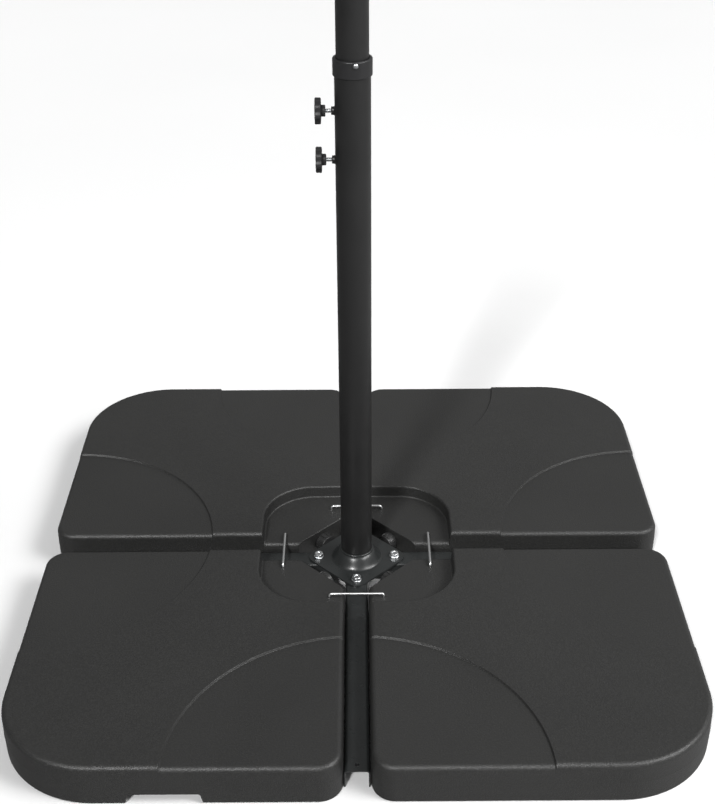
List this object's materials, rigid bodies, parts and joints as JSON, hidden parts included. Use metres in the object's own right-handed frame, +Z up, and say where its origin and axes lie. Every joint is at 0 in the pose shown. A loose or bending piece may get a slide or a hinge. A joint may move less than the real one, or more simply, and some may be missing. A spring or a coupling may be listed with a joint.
{
  "type": "parasol base",
  "caption": "Cross base for a garden parasol with fillable weight plates, wire link clips, a bolted flange, a stand tube, clamp knobs and a pole section.",
  "frame": {"origin": "middle of the cross, on the ground under the pole's axis", "axes": "+Z up along the pole, +X to the right along one channel, +Y to the back along the other; the clamp knobs point to -X"},
  "size_m": [1, 1, 1.1],
  "materials": {
    "plate_plastic": "fine moulded grain",
    "cap_plastic": "satin moulding",
    "seal_rubber": "soft",
    "clip_wire": "bright zinc plated wire",
    "cross_paint": "satin powder coat",
    "tube_paint": "satin powder coat",
    "zinc_steel": "bright zinc plate",
    "bush_plastic": "satin moulding",
    "knob_plastic": "semi gloss moulding",
    "pad_brass": "turned"
  },
  "bodies": {
    "stand": {"plate_front_left": "plate_plastic", "plate_front_right": "plate_plastic", "plate_back_left": "plate_plastic", "plate_back_right": "plate_plastic", "arm_x": "cross_paint", "arm_y": "cross_paint", "flange": "cross_paint", "neck_weld": "cross_paint", "flange_bolts": "zinc_steel", "flange_washers": "zinc_steel", "flange_nuts": "zinc_steel", "stand_tube": "tube_paint", "guide_bush": "bush_plastic", "collar": "bush_plastic", "collar_screw": "zinc_steel", "clamp_nut_upper": "tube_paint", "clamp_nut_lower": "tube_paint"},
    "pole_carrier": {"pole_foot": "bush_plastic"},
    "pole": {"pole": "tube_paint"},
    "clip_front": {"link_clip_front": "clip_wire"},
    "clip_back": {"link_clip_back": "clip_wire"},
    "clip_left": {"link_clip_left": "clip_wire"},
    "clip_right": {"link_clip_right": "clip_wire"},
    "seal_front_left": {"cap_seal_front_left": "seal_rubber"},
    "cap_front_left": {"filler_cap_front_left": "cap_plastic"},
    "seal_front_right": {"cap_seal_front_right": "seal_rubber"},
    "cap_front_right": {"filler_cap_front_right": "cap_plastic"},
    "seal_back_left": {"cap_seal_back_left": "seal_rubber"},
    "cap_back_left": {"filler_cap_back_left": "cap_plastic"},
    "seal_back_right": {"cap_seal_back_right": "seal_rubber"},
    "cap_back_right": {"filler_cap_back_right": "cap_plastic"},
    "pad_upper": {"clamp_pad_upper": "pad_brass"},
    "knob_upper": {"clamp_knob_upper": "knob_plastic", "clamp_screw_upper": "zinc_steel"},
    "pad_lower": {"clamp_pad_lower": "pad_brass"},
    "knob_lower": {"clamp_knob_lower": "knob_plastic", "clamp_screw_lower": "zinc_steel"}
  },
  "joints": [
    {"name": "pole_lift", "type": "slide", "parent": "stand", "child": "pole_carrier", "axis": [0, 0, 1], "range_m": [0, 0.6]},
    {"name": "pole_turn", "type": "hinge", "parent": "pole_carrier", "child": "pole", "pos_m": [0, 0, 0.5], "axis": [0, 0, 1], "continuous": true},
    {"name": "clip_front_pull", "type": "slide", "parent": "stand", "child": "clip_front", "axis": [0, 0, 1], "range_m": [0, 0.06]},
    {"name": "clip_back_pull", "type": "slide", "parent": "stand", "child": "clip_back", "axis": [0, 0, 1], "range_m": [0, 0.06]},
    {"name": "clip_left_pull", "type": "slide", "parent": "stand", "child": "clip_left", "axis": [0, 0, 1], "range_m": [0, 0.06]},
    {"name": "clip_right_pull", "type": "slide", "parent": "stand", "child": "clip_right", "axis": [0, 0, 1], "range_m": [0, 0.06]},
    {"name": "cap_front_left_travel", "type": "slide", "parent": "stand", "child": "seal_front_left", "axis": [0.7071, 0.7071, 0], "range_m": [0, 0.0051]},
    {"name": "cap_front_left_turn", "type": "hinge", "parent": "seal_front_left", "child": "cap_front_left", "pos_m": [-0.058, -0.058, 0.022], "axis": [0.7071, 0.7071, 0], "range_deg": [0, 720]},
    {"name": "cap_front_right_travel", "type": "slide", "parent": "stand", "child": "seal_front_right", "axis": [-0.7071, 0.7071, 0], "range_m": [0, 0.0051]},
    {"name": "cap_front_right_turn", "type": "hinge", "parent": "seal_front_right", "child": "cap_front_right", "pos_m": [0.058, -0.058, 0.022], "axis": [-0.7071, 0.7071, 0], "range_deg": [0, 720]},
    {"name": "cap_back_left_travel", "type": "slide", "parent": "stand", "child": "seal_back_left", "axis": [0.7071, -0.7071, 0], "range_m": [0, 0.0051]},
    {"name": "cap_back_left_turn", "type": "hinge", "parent": "seal_back_left", "child": "cap_back_left", "pos_m": [-0.058, 0.058, 0.022], "axis": [0.7071, -0.7071, 0], "range_deg": [0, 720]},
    {"name": "cap_back_right_travel", "type": "slide", "parent": "stand", "child": "seal_back_right", "axis": [-0.7071, -0.7071, 0], "range_m": [0, 0.0051]},
    {"name": "cap_back_right_turn", "type": "hinge", "parent": "seal_back_right", "child": "cap_back_right", "pos_m": [0.058, 0.058, 0.022], "axis": [-0.7071, -0.7071, 0], "range_deg": [0, 720]},
    {"name": "knob_upper_travel", "type": "slide", "parent": "stand", "child": "pad_upper", "axis": [-1, 0, 0], "range_m": [0, 0.0041]},
    {"name": "knob_upper_turn", "type": "hinge", "parent": "pad_upper", "child": "knob_upper", "pos_m": [-0.04, 0, 0.791], "axis": [-1, 0, 0], "range_deg": [0, 1440]},
    {"name": "knob_lower_travel", "type": "slide", "parent": "stand", "child": "pad_lower", "axis": [-1, 0, 0], "range_m": [0, 0.0041]},
    {"name": "knob_lower_turn", "type": "hinge", "parent": "pad_lower", "child": "knob_lower", "pos_m": [-0.04, 0, 0.721], "axis": [-1, 0, 0], "range_deg": [0, 1440]}
  ],
  "couplings": [
    {"joint": "cap_front_left_travel", "follows": "cap_front_left_turn", "m_per_rad": 0.00039789},
    {"joint": "cap_front_right_travel", "follows": "cap_front_right_turn", "m_per_rad": 0.00039789},
    {"joint": "cap_back_left_travel", "follows": "cap_back_left_turn", "m_per_rad": 0.00039789},
    {"joint": "cap_back_right_travel", "follows": "cap_back_right_turn", "m_per_rad": 0.00039789},
    {"joint": "knob_upper_travel", "follows": "knob_upper_turn", "m_per_rad": 0.00015915},
    {"joint": "knob_lower_travel", "follows": "knob_lower_turn", "m_per_rad": 0.00015915}
  ]
}
